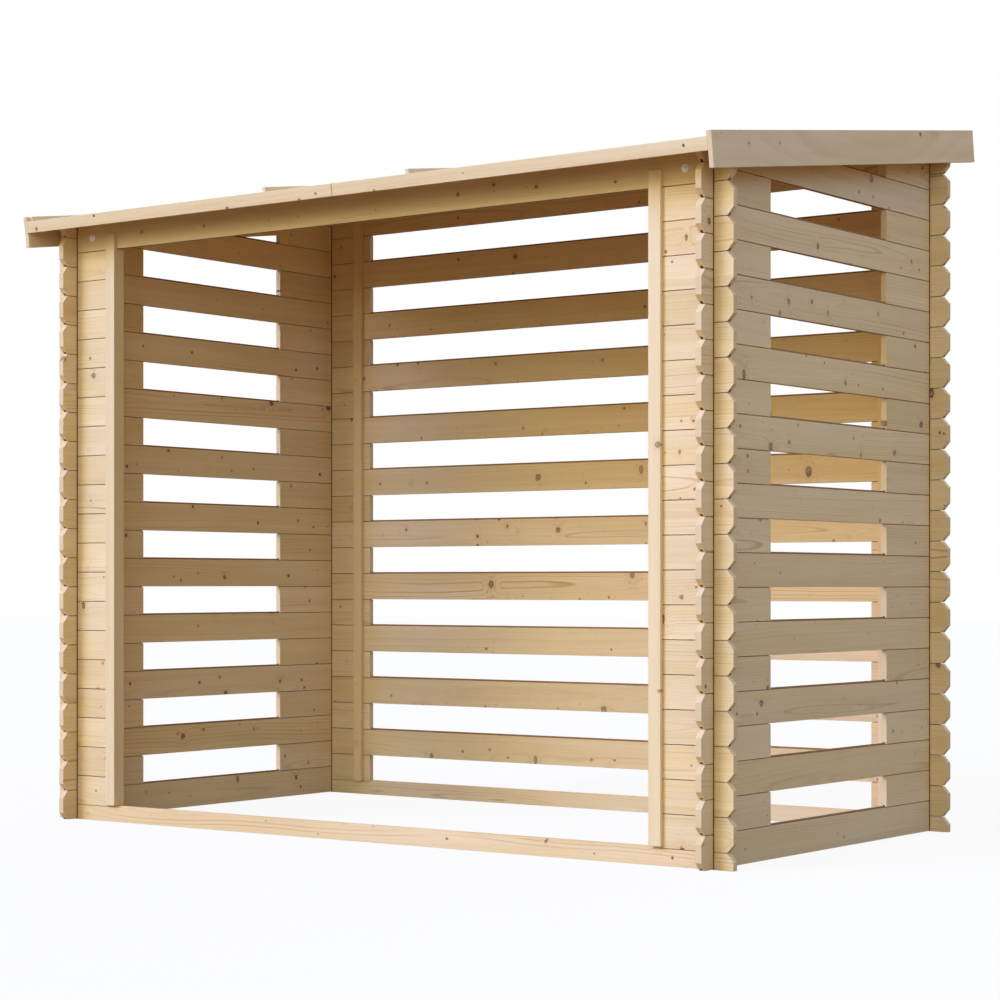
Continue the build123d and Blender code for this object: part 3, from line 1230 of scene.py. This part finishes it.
class LOGSTORE_OT_fixings(bpy.types.Operator):
    """Header bolts, fascia screws and the nails of the roof"""

    bl_idname = "logstore.fixings"
    bl_label = "Fixings"

    def execute(self, context):
        sizes = settings().fixings
        left, right, face, _ = wall_faces()
        first, apart = left + sizes.inset, right - left - 2 * sizes.inset
        height = HEADER[0].z + settings().logs.course / 2 - sizes.bolt_drop
        piece = repeated(
            "header_bolts", bolt_mesh(sizes), "zinc", 2, (first, face, height),
            (apart, 0.0, 0.0),
        )
        settled(piece, "zinc")
        _, along, up = slope_ranges("front_fascia_left")
        below_top, lower_right = 0.008, 0.009
        piece = repeated(
            "fascia_screws", screw_mesh(sizes.screw_head), "brown_steel", 2,
            (sizes.first_screw, along[0], up[1] - below_top),
            (sizes.last_screw - sizes.first_screw, 0.0, -lower_right),
        )
        settled(on_slope(piece), "brown_steel")

        across, _, up = slope_ranges("roof_deck")
        count = settings().roof.board_count
        width = (across[1] - across[0]) / count
        back = roof_matrix().inverted()
        rows = [(back @ Vector((0.0, line, HEADER[1].z))).y for line in wall_lines()[2:]]
        nailed_at = (0.25, 0.75)
        places = [(width * share, row) for share in nailed_at for row in rows]
        piece = repeated(
            "roof_nails", nails_mesh(sizes.nail_head, places), "zinc", count,
            (across[0], 0.0, up[1]), (width, 0.0, 0.0),
        )
        settled(on_slope(piece), "zinc")

        battens = [slope_ranges(node) for node in frame["nodes"] if "roof_batten" in node]
        places = [(sum(batten[X]) / 2, 0.0) for batten in battens]
        in_row, clear = 6, 0.06
        low, high = battens[0][Y]
        piece = repeated(
            "batten_nails", nails_mesh(sizes.nail_head, places), "zinc", in_row,
            (0.0, low + clear, battens[0][Z][1]),
            (0.0, (high - low - 2 * clear) / (in_row - 1), 0.0),
        )
        settled(on_slope(piece), "zinc")
        return {"FINISHED"}


class LOGSTORE_OT_stage(bpy.types.Operator):
    """Floor, background, light and camera"""

    bl_idname = "logstore.stage"
    bl_label = "Stage"

    def seen(self, tree):
        """1 for a ray that shows the background, straight, in a gloss or through glass."""
        looks = ("Is Camera Ray", "Is Glossy Ray", "Is Transmission Ray")
        camera, glossy, through = [
            tree.add("ShaderNodeLightPath", output=name) for name in looks
        ]
        return camera.math("MAXIMUM", camera, glossy.math("MAXIMUM", glossy, through))

    def floor(self, look):
        """A pale floor that the object shades, and that throws little light back."""
        tree = ShaderTree(bpy.data.materials.new("floor"))
        matt = tree.add("ShaderNodeBsdfDiffuse", inputs={"Color": opaque(look.floor)})
        dim = tree.add("ShaderNodeBsdfDiffuse", inputs={"Color": opaque(look.bounce)})
        white = tree.add("ShaderNodeEmission", inputs={"Strength": 1.0})
        glow = 0.92
        pale = tree.add("ShaderNodeMixShader", inputs={0: glow, 1: matt, 2: white})
        mixed = tree.add("ShaderNodeMixShader", inputs={0: self.seen(tree), 1: dim, 2: pale})
        tree.add("ShaderNodeOutputMaterial", inputs={"Surface": mixed})
        reach, drop = 40.0, 0.0005
        bm = bmesh.new()
        corners = ((-reach, -reach), (reach, -reach), (reach, reach), (-reach, reach))
        bm.faces.new([bm.verts.new((x, y, -drop)) for x, y in corners])
        mesh = bpy.data.meshes.new("floor")
        bm.to_mesh(mesh)
        bm.free()
        mesh.materials.append(tree.block)
        linked("floor", mesh)

    def surroundings(self, look):
        """Broad soft lights, each given by its turn from the front, rise and tightness."""
        world = bpy.data.worlds.new("surroundings")
        bpy.context.scene.world = world
        tree = ShaderTree(world)
        way = tree.add("ShaderNodeTexCoord", output="Generated")
        lights = (
            (-25.0, 21.0, 30.0, look.key_light), (-35.0, 34.0, 30.0, look.sky_light),
            (34.0, 14.0, 14.0, look.low_light), (105.0, 30.0, 30.0, look.side_light),
            (182.0, 25.0, 30.0, look.back_light),
        )
        sums = look.even_light
        for turn, rise, tightness, colour in lights:
            turn, rise = math.radians(turn), math.radians(rise)
            level = math.cos(rise)
            source = (math.sin(turn) * level, -math.cos(turn) * level, math.sin(rise))
            facing = tree.add(
                "ShaderNodeVectorMath", {"operation": "DOT_PRODUCT"}, {0: way, 1: source},
                output="Value",
            )
            lobe = facing.math("MAXIMUM", facing, 0.0) ** tightness
            sums = [total + lobe * part for total, part in zip(sums, colour)]
        soft = tree.add(
            "ShaderNodeBackground",
            inputs={"Color": tree.vector(*sums), "Strength": look.brightness},
        )
        white = tree.add("ShaderNodeBackground", inputs={"Color": (1.0, 1.0, 1.0, 1.0)})
        mixed = tree.add("ShaderNodeMixShader", inputs={0: self.seen(tree), 1: soft, 2: white})
        tree.add("ShaderNodeOutputWorld", inputs={"Surface": mixed})

    def execute(self, context):
        look = settings().stage
        scene = context.scene
        scene.view_settings.view_transform = "Standard"
        self.floor(look)
        self.surroundings(look)
        data = bpy.data.cameras.new("camera")
        data.sensor_width = 36.0
        data.lens = look.lens
        data.shift_y = look.rise
        data.clip_end = 100.0
        camera = bpy.data.objects.new("camera", data)
        scene.collection.objects.link(camera)
        camera.location = look.camera_place
        camera.rotation_euler = (math.pi / 2, 0.0, look.camera_turn)
        scene.camera = camera
        return {"FINISHED"}


class LOGSTORE_PT_panel(bpy.types.Panel):
    """The steps that build the log store"""

    bl_idname = "LOGSTORE_PT_panel"
    bl_label = "Log store"
    bl_space_type = "VIEW_3D"
    bl_region_type = "UI"
    bl_category = "Log store"

    def draw(self, context):
        for operator in OPERATORS:
            self.layout.operator(operator.bl_idname)


OPERATORS = (
    LOGSTORE_OT_front_wall,
    LOGSTORE_OT_back_wall,
    LOGSTORE_OT_side_walls,
    LOGSTORE_OT_posts,
    LOGSTORE_OT_roof,
    LOGSTORE_OT_fixings,
    LOGSTORE_OT_stage,
)
GROUPS = (
    LogSizes, WallSizes, RoofSizes, FixingSizes, TimberColours, StageSettings,
    LogStoreSettings,
)
CLASSES = (*GROUPS, *OPERATORS, LOGSTORE_PT_panel)


def register():
    for item in CLASSES:
        bpy.utils.register_class(item)
    bpy.types.Scene.log_store = PointerProperty(type=LogStoreSettings)


def unregister():
    del bpy.types.Scene.log_store
    for item in reversed(CLASSES):
        bpy.utils.unregister_class(item)


def main():
    """Build the log store step by step."""
    register()
    for operator in OPERATORS:
        group, name = operator.bl_idname.split(".")
        getattr(getattr(bpy.ops, group), name)()


if __name__ == "__main__":
    main()
